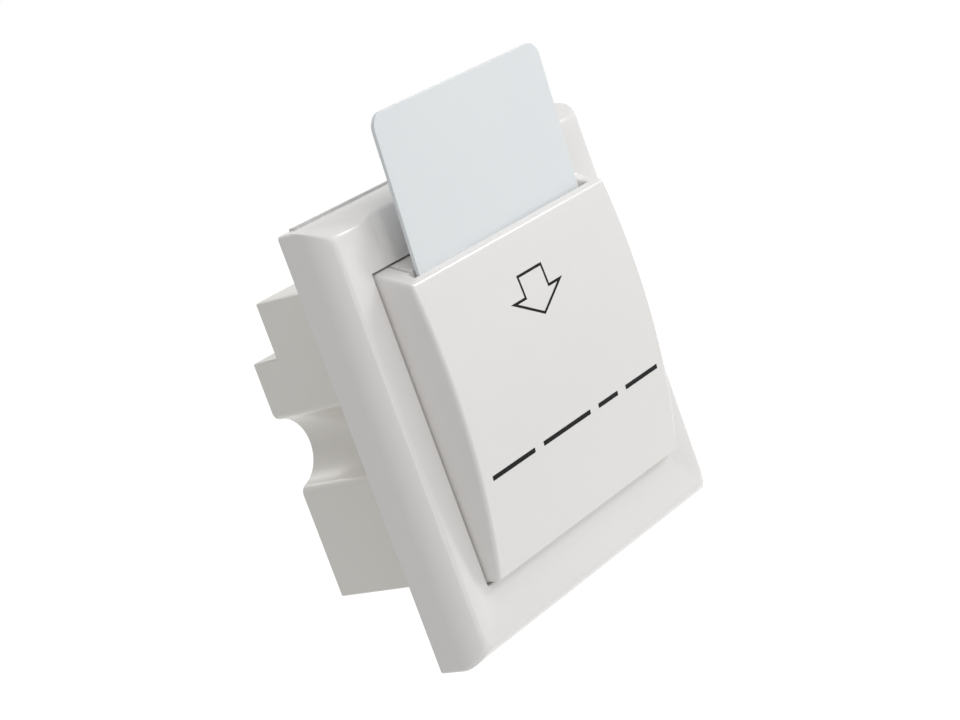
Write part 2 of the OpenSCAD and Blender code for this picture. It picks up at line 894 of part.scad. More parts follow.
// Flat four-legged rectifier
module bridge_rectifier() {
    case = unit * [8.4, 6.4];
    case_h = 3.4;
    corner_r = 0.4;
    color(black) {
        translate([bridge_mid[0], 0, bridge_mid[1]])
            slab(board_back_d - case_h, board_back_d)
                round_rect(case[0], case[1], corner_r);
        pins(bridge_pins, thin_pin_r, board_back_d - cut);
    }
}

// Round plug-in fuse
module fuse() {
    case_r = 4.2 * unit;
    case_h = 7.8;
    color(black) {
        rod(fuse_mid, board_back_d - case_h, board_back_d, case_r);
        pins(fuse_pins, thin_pin_r, board_back_d - cut);
    }
}

// Disc that stands on its two legs
module varistor() {
    disc_r = 5.75 * unit;
    disc_t = 4.4 * unit;
    leg_h = 1;
    color([0.15, 0.35, 0.6]) {
        translate([varistor_mid[0], disc_r + leg_h - board_back_d, varistor_mid[1] - disc_t / 2])
            cylinder(h = disc_t, r = disc_r);
        pins(varistor_pins, thin_pin_r, board_back_d - disc_r);
    }
}

// Eight-legged timer
module timer_chip() {
    case = unit * [6.2, 9.2];
    case_h = 3.3;
    color(black) {
        translate([chip_mid[0], 0, chip_mid[1]])
            slab(board_back_d - case_h, board_back_d)
                square(case, center = true);
        pins(chip_pins, thin_pin_r, board_back_d - cut);
    }
}

// Small transistor with a flat face, on three legs
module transistor() {
    case_r = 2.4 * unit;
    case_h = 4.8;
    leg_h = 1.8;
    flat_at = 0.6 * case_r;
    color(black) {
        difference() {
            rod(transistor_mid, board_back_d - leg_h - case_h, board_back_d - leg_h, case_r);
            translate([transistor_mid[0] - 2 * case_r, -board_back_d, transistor_mid[1] + flat_at])
                cube([4 * case_r, leg_h + case_h + cut, 2 * case_r]);
        }
        pins(transistor_pins, thin_pin_r, board_back_d - leg_h - cut);
    }
}

// Resistors lying along the board, each with two bent legs
module resistors() {
    body_r = 1.1 * unit;
    body_l = 3.2 * unit;
    body_d = board_back_d - body_r - gap;
    color([0.75, 0.6, 0.42])
        for (middle = resistor_mids) {
            translate([middle[0], -body_d, middle[1] - body_l / 2])
                cylinder(h = body_l, r = body_r);
            translate([middle[0], -body_d, middle[1] - resistor_leg])
                cylinder(h = 2 * resistor_leg, r = thin_pin_r * 0.9);
            pins([for (z = [-1, 1]) middle + [0, z * resistor_leg]], thin_pin_r, body_d);
        }
}

front_plate();
mounting_frame();
pocket_cover();
pocket_back();
pocket_screws();
key_card();
rear_housing();
terminal_cover();
housing_screws();
pcb();
pcb_screws();
microswitch();
switch_lever();
lever_pin();
switch_plunger();
relay();
terminal_block();
terminal_clamps();
terminal_screws();
film_capacitor();
storage_capacitor();
bridge_rectifier();
fuse();
varistor();
timer_chip();
transistor();
resistors();
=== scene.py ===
# %% [markdown]
# # A hotel key card switch
# A square white plate sits on the wall. The bulging pocket on it holds a room card, and a stepped box
# behind it goes into the wall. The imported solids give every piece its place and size. This lesson adds
# what the eye sees: soft moulded edges, the finishes, a printed sign, the light and the camera.

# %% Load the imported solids
import math

import bmesh
import bpy
import numpy as np
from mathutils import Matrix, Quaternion, Vector


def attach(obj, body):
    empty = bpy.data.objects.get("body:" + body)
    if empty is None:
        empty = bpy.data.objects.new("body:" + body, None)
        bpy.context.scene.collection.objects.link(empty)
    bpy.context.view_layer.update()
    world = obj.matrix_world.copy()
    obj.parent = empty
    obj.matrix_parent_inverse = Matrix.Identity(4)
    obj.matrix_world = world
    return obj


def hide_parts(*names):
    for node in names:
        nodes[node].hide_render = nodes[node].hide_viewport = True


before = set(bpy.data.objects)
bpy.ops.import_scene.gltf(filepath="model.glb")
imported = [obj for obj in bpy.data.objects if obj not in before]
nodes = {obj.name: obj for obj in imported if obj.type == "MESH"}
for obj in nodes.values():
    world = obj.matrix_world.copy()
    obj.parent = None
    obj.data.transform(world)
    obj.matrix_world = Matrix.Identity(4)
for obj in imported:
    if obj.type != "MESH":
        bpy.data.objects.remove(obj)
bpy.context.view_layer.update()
MM = 0.001

# %% [markdown]
# ## Camera
# The picture was taken from the front left and a little above, and the object leans to the left in it.
# A camera is aimed at the middle of the plate and then rolled about its own line of sight, which gives
# that lean without tilting the object itself. The long lens keeps the plate's far edge nearly as tall
# as the near one.

# %% Camera
CAMERA_SPOT = Vector((-363.64, -304.50, 88.45)) * MM
CAMERA_AIM = Vector((-0.20, 1.26, 3.70)) * MM
CAMERA_ROLL = math.radians(-20.09)
LENS_MM = 93.56
SENSOR_MM = 36
NEAREST_MM = 10

camera_data = bpy.data.cameras.new("camera")
camera_data.lens = LENS_MM
camera_data.sensor_width = SENSOR_MM
camera_data.clip_start = NEAREST_MM * MM
camera = bpy.data.objects.new("camera", camera_data)
camera.location = CAMERA_SPOT
camera.rotation_mode = "QUATERNION"
upright = (CAMERA_AIM - CAMERA_SPOT).to_track_quat("-Z", "Y")
camera.rotation_quaternion = upright @ Quaternion((0, 0, 1), CAMERA_ROLL)
bpy.context.scene.collection.objects.link(camera)
bpy.context.scene.camera = camera
print("camera distance in mm:", round((CAMERA_AIM - CAMERA_SPOT).length / MM, 1))

# %% [markdown]
# ## Helpers for meshes
# A shape here is a grid of points worked out in one go with numpy. Neighbours in the grid become faces
# with four corners. Where grid lines fall on one another the doubled points are merged, so the mesh has
# no seams.

# %% Mesh helpers
def grid_faces(rows, columns):
    """Index of the four corners of every cell of a grid of points, row by row."""
    index = np.arange(rows * columns).reshape(rows, columns)
    corners = (index[:-1, :-1], index[:-1, 1:], index[1:, 1:], index[1:, :-1])
    return np.stack(corners, -1).reshape(-1, 4)


def mesh_object(name, points_mm, faces, merge_mm=0.0):
    """New object from points in millimetres and lists of corner numbers, with doubled points merged."""
    mesh = bpy.data.meshes.new(name)
    points = (np.asarray(points_mm).reshape(-1, 3) * MM).tolist()
    mesh.from_pydata(points, [], [list(map(int, face)) for face in faces])
    if merge_mm:
        work = bmesh.new()
        work.from_mesh(mesh)
        bmesh.ops.remove_doubles(work, verts=work.verts, dist=merge_mm * MM)
        bmesh.ops.dissolve_degenerate(work, edges=work.edges, dist=merge_mm * MM)
        bmesh.ops.recalc_face_normals(work, faces=work.faces)
        work.to_mesh(mesh)
        work.free()
    piece = bpy.data.objects.new(name, mesh)
    bpy.context.scene.collection.objects.link(piece)
    return piece


def smooth(piece, sharp_above=40):
    """Smooth shading, broken only where two faces meet at more than sharp_above degrees."""
    piece.data.shade_smooth()
    piece.data.set_sharp_from_angle(angle=math.radians(sharp_above))
    return piece


print("grid of 3 by 3 points has", len(grid_faces(3, 3)), "faces")

# %% [markdown]
# ## Helpers for finishes
# Colours are written as the hex values that a screen shows, and one function turns them into the linear
# values that the renderer needs. Another adds a shader node, fills its sockets and links it. The rest
# are the few steps that most finishes share: a pattern, a tint, an uneven gloss and a bump.

# %% Finish helpers
def hex_linear(code):
    """sRGB hex such as "F0F0EC" as linear red, green, blue and an alpha of 1."""
    srgb = np.array([int(code[i:i + 2], 16) for i in (0, 2, 4)]) / 255
    linear = np.where(srgb <= 0.04045, srgb / 12.92, ((srgb + 0.055) / 1.055) ** 2.4)
    return (*linear.tolist(), 1.0)


def add(tree, kind, sockets=None, **settings):
    """Adds one node. Settings are the node's own. A socket is given a value or linked to an output."""
    node = tree.nodes.new(kind)
    for name, value in settings.items():
        setattr(node, name, value)
    for name, value in (sockets or {}).items():
        if isinstance(value, bpy.types.NodeSocket):
            tree.links.new(value, node.inputs[name])
        else:
            node.inputs[name].default_value = value
    return node


def new_finish(name, **shader_values):
    """New material with its node tree, its surface shader and the place on the piece."""
    material = bpy.data.materials.new(name)
    material.use_nodes = True
    tree = material.node_tree
    shader = tree.nodes["Principled BSDF"]
    for socket, value in shader_values.items():
        shader.inputs[socket.replace("_", " ")].default_value = value
    place = add(tree, "ShaderNodeTexCoord").outputs["Object"]
    return material, tree, shader, place


def per_mm(size_mm):
    """Texture scale at which one patch of the pattern is about size_mm wide."""
    return 1 / (size_mm * MM)


def noise(tree, place, size_mm, detail=2.0):
    """Soft random pattern in three dimensions, with patches about size_mm wide."""
    sockets = {"Vector": place, "Scale": per_mm(size_mm), "Detail": detail}
    return add(tree, "ShaderNodeTexNoise", sockets).outputs[0]


def tint(tree, shader, share, first, second):
    """Colours the surface from the first hex colour to the second as the share goes from 0 to 1."""
    sockets = {0: share, 6: hex_linear(first), 7: hex_linear(second)}
    mix = add(tree, "ShaderNodeMix", sockets, data_type="RGBA")
    tree.links.new(mix.outputs[2], shader.inputs["Base Color"])


def uneven_gloss(tree, shader, pattern, roughness, spread):
    """Lets a pattern move the roughness up and down by a share of it."""
    sockets = {0: pattern, 3: roughness * (1 - spread), 4: roughness * (1 + spread)}
    gloss = add(tree, "ShaderNodeMapRange", sockets)
    tree.links.new(gloss.outputs[0], shader.inputs["Roughness"])


def bump(tree, shader, pattern, height_mm):
    """Lets a pattern shade the surface as if it rose by up to height_mm."""
    relief = add(tree, "ShaderNodeBump", {"Height": pattern, "Distance": height_mm * MM, "Strength": 1.0})
    tree.links.new(relief.outputs[0], shader.inputs["Normal"])


print("mid grey 808080 in linear light:", round(hex_linear("808080")[0], 3))

# %% [markdown]
# ## Moulded plastics
# The plate, pocket and housing are taken to be injection-moulded ABS. The mould is polished, so the
# surface is glossy, but a shrinking wall leaves a faint orange peel of a millimetre or two, and the
# white drifts a little from place to place. Noise in three dimensions gives both, because it needs no
# unwrapping and meets itself round every corner.

# %% Moulded plastic
def moulded_plastic(name, light, dark, roughness, peel_mm, peel_height_mm, drift_mm=30, spread=0.15):
    """Plastic from a mould: slow drift between two near colours, uneven gloss and a fine orange peel."""
    material, tree, shader, place = new_finish(name, Roughness=roughness, IOR=1.53)
    drift = noise(tree, place, drift_mm, 3.0)
    tint(tree, shader, drift, light, dark)
    uneven_gloss(tree, shader, drift, roughness, spread)
    bump(tree, shader, noise(tree, place, peel_mm), peel_height_mm)
    return material


# Name, light and dark colour, roughness, width and height of the peel and width of the drift in mm
white_abs = moulded_plastic("white_moulded_abs", "F2F0EF", "EEECEA", 0.17, 1.6, 0.003)
# The housing's warm white is its own colour, but it is painted a little lighter than the plate's white.
# That is painted light, which makes up for the shade the plate casts on the housing.
housing_abs_painted_lighter = moulded_plastic("housing_abs_lightened_for_shade", "F6F3EE", "F2EFE9", 0.3, 1.2, 0.005)
black_moulding = moulded_plastic("black_filled_nylon", "1B1B1D", "141416", 0.42, 0.5, 0.006, 6)
relay_case = moulded_plastic("relay_case_pbt", "20242B", "191C22", 0.38, 0.7, 0.006, 8)
terminal_nylon = moulded_plastic("terminal_nylon", "2F7A55", "286B4A", 0.36, 0.8, 0.006, 8)
plunger_acetal = moulded_plastic("plunger_acetal", "ECEAE2", "E4E2DA", 0.3, 0.6, 0.003, 4)
film_case = moulded_plastic("film_capacitor_case", "D9B63E", "CDA92F", 0.4, 0.7, 0.005, 8)
varistor_coat = moulded_plastic("varistor_epoxy_coat", "2C5E9E", "24518C", 0.3, 1.0, 0.02, 5)
print("plastics on the outside:", white_abs.name, housing_abs_painted_lighter.name)

# %% [markdown]
# ## Card and ink
# The card is white PVC between two clear sheets, so it has a thin glossy coat and is slightly bluer
# than the plate. The sign is black pad-printing ink, which lies a few hundredths of a millimetre thick
# and is matt.

# %% Card and ink
def laminated_card(name, wave_mm=40, wave_height_mm=0.01):
    """PVC sheet under a clear film: cool white with a very slow wave from laminating and a satin gloss."""
    film = {"Coat_Weight": 0.25, "Coat_Roughness": 0.12}
    material, tree, shader, place = new_finish(name, Roughness=0.3, IOR=1.5, **film)
    wave = noise(tree, place, wave_mm, 1.0)
    tint(tree, shader, wave, "EBEFF1", "E5EAED")
    bump(tree, shader, wave, wave_height_mm)
    return material


def printing_ink(name, speck_mm=0.4):
    """Black ink film: matt and nearly flat black, thinned in specks where the pad let go."""
    material, tree, shader, place = new_finish(name, Roughness=0.65, IOR=1.48, Specular_IOR_Level=0.15)
    tint(tree, shader, noise(tree, place, speck_mm), "0C0C0D", "19191B")
    return material


card_pvc = laminated_card("laminated_pvc_card")
sign_ink = printing_ink("black_printing_ink")
print("card and ink:", card_pvc.name, sign_ink.name)

# %% [markdown]
# ## Metals
# Screws are zinc plated, the lever is bright spring strip with fine rolling lines along it, and the
# cages are plain brass. One finish serves all three: fine noise shades the colour and the gloss, and
# where it is drawn out along the height it turns into lines.

# %% Metals
def worked_metal(name, light, dark, roughness, grain_mm, stretch, spread=0.3):
    """Bare or plated metal: fine noise, drawn out along the height by stretch, shades colour and gloss."""
    material, tree, shader, place = new_finish(name, Metallic=1.0, Roughness=roughness)
    drawn_out = add(tree, "ShaderNodeMapping", {"Vector": place, "Scale": (1.0, 1.0, 1.0 / stretch)})
    grain = noise(tree, drawn_out.outputs[0], grain_mm, 3.0)
    tint(tree, shader, grain, light, dark)
    uneven_gloss(tree, shader, grain, roughness, spread)
    return material


# Name, light and dark colour, roughness, width of the grain in mm and how far it is drawn out
zinc_steel = worked_metal("zinc_plated_steel", "C9CCD1", "A9ADB3", 0.32, 0.3, 1)
spring_steel = worked_metal("rolled_spring_strip", "CFD0D2", "B2B4B7", 0.25, 0.15, 8)
plain_brass = worked_metal("plain_brass", "D9B56A", "BF994E", 0.3, 0.3, 3)
print("metals:", zinc_steel.name, spring_steel.name, plain_brass.name)

# %% [markdown]
# ## Board and the parts on it
# These sit inside the closed housing, so they need less. The board is glass cloth under green solder
# mask, with copper tracks that show as paler blocks. The round capacitor has a printed stripe and the
# resistors have bands.

# %% Board finishes
TRACK_MM = 6
TRACK_GAP = 0.06
TRACK_SHIFT = 0.35
WEAVE_MM = 0.7
WEAVE_HEIGHT_MM = 0.01
BAND_CUT = 0.55


def solder_mask(name):
    """Green mask over copper: the blocks of a brick pattern stand for tracks, over a fine weave."""
    material, tree, shader, place = new_finish(name, Roughness=0.34, IOR=1.5)
    flat = add(tree, "ShaderNodeMapping", {"Vector": place, "Rotation": (math.radians(90), 0, 0)})
    greens = {"Color1": "1F6B3F", "Color2": "257747", "Mortar": "124A2A"}
    colours = {socket: hex_linear(code) for socket, code in greens.items()}
    spacing = {"Vector": flat.outputs[0], "Scale": per_mm(TRACK_MM), "Mortar Size": TRACK_GAP}
    tracks = add(tree, "ShaderNodeTexBrick", {**spacing, **colours}, offset=TRACK_SHIFT)
    tree.links.new(tracks.outputs[0], shader.inputs["Base Color"])
    bump(tree, shader, noise(tree, place, WEAVE_MM), WEAVE_HEIGHT_MM)
    return material


def banded(name, body, band, axis, middle_mm, pitch_mm, roughness):
    """Coloured body with bands across one axis: a cosine of the way from the middle is cut at a level."""
    material, tree, shader, place = new_finish(name, Roughness=roughness, IOR=1.5)
    value = add(tree, "ShaderNodeSeparateXYZ", {0: place}).outputs[axis]
    steps = {"ADD": -middle_mm * MM, "MULTIPLY": 2 * math.pi * per_mm(pitch_mm), "COSINE": 0.0,
             "GREATER_THAN": BAND_CUT}
    for operation, number in steps.items():
        value = add(tree, "ShaderNodeMath", {0: value, 1: number}, operation=operation).outputs[0]
    tint(tree, shader, value, body, band)
    return material


board_mask = solder_mask("green_solder_mask")
# Name, colour of the body and of the bands, axis, one band's middle and their pitch in mm, roughness
sleeve = banded("printed_capacitor_sleeve", "25304F", "AEB4BD", "X", 14.0, 20.0, 0.28)
lacquer = banded("resistor_lacquer", "C9AA78", "6B3F24", "Z", -19.2, 0.9, 0.3)
print("board finishes:", board_mask.name, sleeve.name, lacquer.name)

# %% [markdown]
# ## Which solid has which finish
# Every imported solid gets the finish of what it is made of. Most are shown as they are. The moulded
# pieces around the outside and the card get a softer stand-in further on, with the same finish.

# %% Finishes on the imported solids
FINISH_OF = {
    white_abs: ["pocket_back", "mounting_frame", "pocket_cover", "front_plate"],
    housing_abs_painted_lighter: ["rear_housing", "terminal_cover"],
    card_pvc: ["key_card"],
    zinc_steel: ["pocket_screws", "housing_screws", "pcb_screws", "terminal_screws"],
    spring_steel: ["switch_lever", "lever_pin"],
    plain_brass: ["terminal_clamps"],
    board_mask: ["pcb"],
    black_moulding: ["microswitch", "bridge_rectifier", "fuse", "timer_chip", "transistor"],
    relay_case: ["relay"],
    terminal_nylon: ["terminal_block"],
    plunger_acetal: ["switch_plunger"],
    film_case: ["film_capacitor"],
    varistor_coat: ["varistor"],
    sleeve: ["storage_capacitor"],
    lacquer: ["resistors"],
}
for finish, names in FINISH_OF.items():
    for name in names:
        nodes[name].data.materials.clear()
        nodes[name].data.materials.append(finish)
print("solids with a finish:", sum(len(names) for names in FINISH_OF.values()), "of", len(nodes))

# %% [markdown]
# ## Soft edges
# No moulded edge is perfectly sharp: the mould's corners are rounded by a few tenths of a millimetre,
# and that thin curve catches the light. Which edges are rounded is a rule for each piece. Most take the
# outward edges between large faces. The rims of small holes have narrow faces, so they stay as they are
# and the bevel never folds over. The housing and the frame have rules of their own, because edges that
# another piece hides are left sharp there.

# %% Which edges are rounded
TINY = 0.01
LIP_START = 39.6
LARGE_MM2 = 4
HOUSING_LARGE_MM2 = 8
HOUSING_BACK = max(corner[1] for corner in nodes["rear_housing"].bound_box) / MM


def large_beside(edge, least_mm2=LARGE_MM2):
    """Whether both faces beside an edge are larger than least_mm2."""
    return min(face.calc_area() for face in edge.link_faces) > least_mm2 * MM ** 2


def pocket_edge(edge):
    """Edges of the pocket and of the terminals' cover."""
    return large_beside(edge)


def housing_edge(edge):
    """The rim of the housing's back, which runs on into the screw channels. Elsewhere, edges between large
    faces, but not around the open front."""
    places = [vertex.co.y / MM for vertex in edge.verts]
    on_back = min(places) > HOUSING_BACK - TINY
    return on_back or (max(places) > TINY and large_beside(edge, HOUSING_LARGE_MM2))


def frame_edge(edge):
    """The frame's flat back and its two lips, which are all that shows of it."""
    on_back = min(vertex.co.y for vertex in edge.verts) > -TINY * MM
    on_lip = min(abs(vertex.co.z) for vertex in edge.verts) > LIP_START * MM
    return large_beside(edge) and (on_back or on_lip)


def card_edge(edge):
    """Every edge of the card, because it is cut and rounded all the way round."""
    return True


print("back of the housing in mm:", round(HOUSING_BACK, 2))

# %% [markdown]
# Every copy is made in the same way: doubled points are merged, faces that lie in one plane are joined,
# and a bevel rounds the chosen edges. Only the rule and the radius differ. The radius is largest on the
# pocket, whose edges look soft in the picture, and smallest on the wall behind the card, so that its
# seam with the pocket stays fine. The copy then stands for the solid.

# %% Rounded copies
FLAT_WITHIN = math.radians(0.2)
BEVEL_STEPS = 3


def soft_mesh(node, rule, sharp_above):
    """Merged copy of a solid's mesh. An edge is marked for rounding where the rule says so and its two
    faces meet outwards at more than sharp_above degrees."""
    mesh = bpy.data.meshes.new(node + "_soft")
    work = bmesh.new()
    work.from_mesh(nodes[node].data)
    bmesh.ops.remove_doubles(work, verts=work.verts, dist=TINY * MM)
    bmesh.ops.dissolve_limit(work, angle_limit=FLAT_WITHIN, verts=work.verts, edges=work.edges)
    weight = work.edges.layers.float.new("bevel_weight_edge")
    for edge in work.edges:
        outward = edge.is_convex and edge.calc_face_angle() > math.radians(sharp_above)
        edge[weight] = float(outward and rule(edge))
    work.to_mesh(mesh)
    work.free()
    if "custom_normal" in mesh.attributes:
        mesh.attributes.remove(mesh.attributes["custom_normal"])
    mesh.materials.append(nodes[node].data.materials[0])
    return mesh


def rounded_copy(node, rule, radius_mm, body, sharp_above=35):
    """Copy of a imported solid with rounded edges, which stands for it on the same body."""
    piece = bpy.data.objects.new(node + "_soft", soft_mesh(node, rule, sharp_above))
    bpy.context.scene.collection.objects.link(piece)
    smooth(piece, sharp_above)
    bevel = piece.modifiers.new("soft_edges", "BEVEL")
    bevel.width = radius_mm * MM
    bevel.segments = BEVEL_STEPS
    bevel.limit_method = "WEIGHT"
    bevel.use_clamp_overlap = False
    bevel.harden_normals = True
    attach(piece, body)
    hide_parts(node)
    return piece


soft_pieces = [  # solid, rule, radius in mm and body
    rounded_copy("pocket_cover", pocket_edge, 0.8, "base"),
    rounded_copy("pocket_back", pocket_edge, 0.06, "base"),
    rounded_copy("mounting_frame", frame_edge, 0.15, "base"),
    rounded_copy("rear_housing", housing_edge, 0.4, "base"),
    rounded_copy("terminal_cover", pocket_edge, 0.2, "base"),
    rounded_copy("key_card", card_edge, 0.12, "card"),
]
print("rounded copies:", [piece.name for piece in soft_pieces])

# %% [markdown]
# ## Wall plate
# The plate is one moulding. Seen from the front it is a height over the wall: the rim rises in a long
# roll, turns over a tight crest and slopes down to a flat floor, and a shallow way for the card is let
# into its top. Such a form is a height field, so each of these shapes is worked out alone as a depth
# over a grid, and at each point the lowest of them counts. A smooth lowest value, in place of a plain
# one, rounds the edges between them.

# %% Rim, dish and card way as depths
plate_corners = np.array(nodes["front_plate"].bound_box) / MM
PLATE_HALF = float(plate_corners[:, 0].max())
CREST = float(-plate_corners[:, 1].min())
CREST_R = 1.4
SIDE_ROLL = (5.3, 6.0)  # depth where the long arc starts, and its radius
TOP_ROLL = (1.8, 14.0)
DISH_FLOOR = 9.6
DISH = (33.1, 39.2)  # half widths of the floor and at the crest
CARD_WAY = (28.0, 32.5)
CORNER_BEND = 6.5
CORNER_SHORT = 0.2  # how far inside the square's corner the bend ends
RIM_BLEND = 0.5
EDGE_BLEND = 0.3


def smooth_least(first, second, reach):
    """The lower of two depths, with the corner between them rounded over a depth of about reach."""
    share = np.clip(0.5 + 0.5 * (second - first) / reach, 0, 1)
    return second + (first - second) * share - reach * share * (1 - share)


def roll_turn(roll):
    """Angle from the wall at which the long arc of a roll runs into the crest arc."""
    start, radius = roll
    return math.asin((CREST - start - CREST_R) / (radius - CREST_R))


def crest_inset(roll):
    """Distance inside the edge at which a roll reaches its crest."""
    radius = roll[1]
    return radius - (radius - CREST_R) * math.cos(roll_turn(roll))


def rolled_depth(inset, roll):
    """Depth of the rim at a distance inside its edge: a long arc from the wall, a crest arc, then level."""
    start, radius = roll
    meeting = radius * (1 - math.cos(roll_turn(roll)))
    long_arc = start + np.sqrt(np.clip(radius ** 2 - (radius - inset) ** 2, 0, None))
    before_crest = np.clip(crest_inset(roll) - inset, 0, None)
    crest_arc = CREST - CREST_R + np.sqrt(np.clip(CREST_R ** 2 - before_crest ** 2, 0, None))
    return np.where(inset < meeting, long_arc, crest_arc)


def sloping_depth(distance, half_widths):
    """Depth of a shallow trough: the floor up to the first half width, then straight up to the crest at the
    second."""
    inner, outer = half_widths
    return DISH_FLOOR + np.clip(distance - inner, 0, None) * (CREST - DISH_FLOOR) / (outer - inner)


def plate_depth(x, z):
    """Depth of the plate's front over the wall at (x, z), as the smooth lowest of its rim and its dish. The
    dish is the smooth highest of two troughs, with the card's way cut into its upper half."""
    sides = rolled_depth(PLATE_HALF - np.abs(x), SIDE_ROLL)
    ends = np.where(z > 0, rolled_depth(PLATE_HALF - z, TOP_ROLL), rolled_depth(PLATE_HALF + z, SIDE_ROLL))
    rim = smooth_least(sides, ends, RIM_BLEND)
    past_bend = np.hypot(x, z) - PLATE_HALF * math.sqrt(2) + CORNER_BEND + CORNER_SHORT
    corner = np.clip(past_bend, 0, CORNER_BEND)
    rim = smooth_least(rim, CREST - CORNER_BEND + np.sqrt(CORNER_BEND ** 2 - corner ** 2), EDGE_BLEND)
    across = sloping_depth(np.abs(x), DISH)
    along = sloping_depth(np.abs(z), DISH)
    dish = -smooth_least(-across, -along, EDGE_BLEND)
    card_way = smooth_least(dish, sloping_depth(np.abs(x), CARD_WAY), EDGE_BLEND)
    return smooth_least(rim, np.where(z > 0, card_way, dish), EDGE_BLEND)


print("depth in mm at the middle and at the left edge:",
      [round(float(plate_depth(np.float64(x), np.float64(0))), 2) for x in (0, -PLATE_HALF)])

# %% [markdown]
# The grid lines stand close together where the rim turns and far apart on the flat. Two lines at nearly
# the same place make an upright step, as at the seat of the pocket and at the hollow back. The front
# and the back are two such grids over the same lines, and a strip of faces around the edge and around
# the lever's window closes them.

# %% Plate as two grids and their edges
SKIRT_IN = 39.5
SEAT_HALF = 33.0
SEAT_LOW = -30.65
SEAT_HIGH = 30.75
SEAT = 8.6
SEAT_EDGE_R = 0.35
SEAM = 0.35
GROOVE = 7.6
HOLLOW = 7.0
PLATE_BACK = 0.3
WINDOW = (-3.0, 3.0, -27.2, -17.0)  # left, right, low and high edge
NOTCH_HALF = 4.0
NOTCH_TOP = -41.4
NOTCH = 3.5
LIP_EDGE_R = 0.5
OUTLINE_R = 0.8
STEP = 0.01
ARC_LINES = 15
CREST_LINES = 9
FINE_LINES = (0.12, 5.2, 0.16)  # first, past the crest, then the end and the step
COARSE_LINES = (5.4, 9.6, 0.35)  # first, end and step
FLAT_LINES = (-26, 26, 27)  # first, last and how many
SLOPE_LINES = (27, 33, 25)
SEAT_EDGE_LINES = (0.03, SEAT_EDGE_R, 5)
LINE_DIGITS = 4
PLATE_MERGE = 0.004


def rim_lines(roll):
    """Distances inside the edge for one side's grid lines: even angles on both arcs, then even steps."""
    turn = roll_turn(roll)
    crest_at = crest_inset(roll)
    first, end, step = FINE_LINES
    long_arc = roll[1] * (1 - np.cos(np.linspace(0, turn, ARC_LINES)))
    crest_arc = crest_at - CREST_R * np.cos(np.linspace(turn, math.pi / 2, CREST_LINES))
    fine = np.arange(crest_at + first, end, step)
    return np.concatenate([long_arc, crest_arc, fine, np.arange(*COARSE_LINES)])


def steps_at(places):
    """A pair of lines on either side of each place."""
    return np.concatenate([np.array(places) - STEP, np.array(places) + STEP])


def plate_lines():
    """Places of the grid lines along x and along z, in order and each once."""
    side = PLATE_HALF - rim_lines(SIDE_ROLL)
    top = PLATE_HALF - rim_lines(TOP_ROLL)
    flat = np.linspace(*FLAT_LINES)
    slope = np.linspace(*SLOPE_LINES)
    seat_edge = np.linspace(*SEAT_EDGE_LINES)
    x_steps = steps_at([-SKIRT_IN, SKIRT_IN, -SEAT_HALF, SEAT_HALF, SEAM - SEAT_HALF, SEAT_HALF - SEAM,
                        -NOTCH_HALF, NOTCH_HALF])
    z_steps = steps_at([-SKIRT_IN, SKIRT_IN, SEAT_LOW, SEAT_HIGH, SEAT_LOW + SEAM, SEAT_HIGH - SEAM,
                        NOTCH_TOP])
    x_lines = [-side, side, flat, -slope, slope, SEAT_HALF + seat_edge, -SEAT_HALF - seat_edge, x_steps,
               WINDOW[:2]]
    z_lines = [-side, top, flat, SEAT_HIGH + seat_edge, SEAT_LOW - seat_edge, z_steps, WINDOW[2:]]
    return [np.unique(np.concatenate(lines).round(LINE_DIGITS)) for lines in (x_lines, z_lines)]


def rounded_outline(x, z):
    """Carries the grid's square corners onto quarter discs: one coordinate shrinks as the other grows."""
    past_x = np.clip(np.abs(x) - PLATE_HALF + OUTLINE_R, 0, None) / OUTLINE_R
    past_z = np.clip(np.abs(z) - PLATE_HALF + OUTLINE_R, 0, None) / OUTLINE_R
    round_x = x - np.sign(x) * OUTLINE_R * past_x * (1 - np.sqrt(1 - past_z ** 2 / 2))
    round_z = z - np.sign(z) * OUTLINE_R * past_z * (1 - np.sqrt(1 - past_x ** 2 / 2))
    return round_x, round_z


def seat_depth(x, z, front):
    """Front depth with the pocket's seat sunk into it, its upper edge rounded as a quarter circle. A deeper
    groove runs around the pocket, and little light gets out of it, so the seam looks dark."""
    outside = np.maximum(np.abs(x) - SEAT_HALF, np.maximum(SEAT_LOW - z, z - SEAT_HIGH))
    edge = np.clip(SEAT_EDGE_R - outside, 0, SEAT_EDGE_R)
    rounded = front - SEAT_EDGE_R + np.sqrt(SEAT_EDGE_R ** 2 - edge ** 2)
    return np.select([outside < -SEAM, outside < 0], [SEAT, GROOVE], rounded)


def back_depth(x, z):
    """Depth of the plate's back: its hollow, the room for the frame's lips and the notch for prying it off.
    Over the lips the edge is rounded as a quarter circle, which makes the dark groove along the top."""
    hollow = np.maximum(np.abs(x), np.abs(z)) < SKIRT_IN
    lips = (np.abs(x) < SKIRT_IN) & ~hollow
    notch = (np.abs(x) < NOTCH_HALF) & (z < NOTCH_TOP)
    edge = np.clip(LIP_EDGE_R - PLATE_HALF + np.abs(z), 0, LIP_EDGE_R)
    lip = TOP_ROLL[0] + LIP_EDGE_R - np.sqrt(LIP_EDGE_R ** 2 - edge ** 2)
    return np.select([hollow, notch, lips], [HOLLOW, NOTCH, lip], PLATE_BACK)


def edge_strip(ring, offset):
    """Faces between a ring of points of the front grid and the same ring of the back grid."""
    after = np.roll(ring, -1)
    return np.column_stack([ring, after, after + offset, ring + offset])


def ring_of(index):
    """Point numbers around the border of a block of the grid, in order."""
    return np.concatenate([index[0, :-1], index[:-1, -1], index[-1, :0:-1], index[:0:-1, 0]])


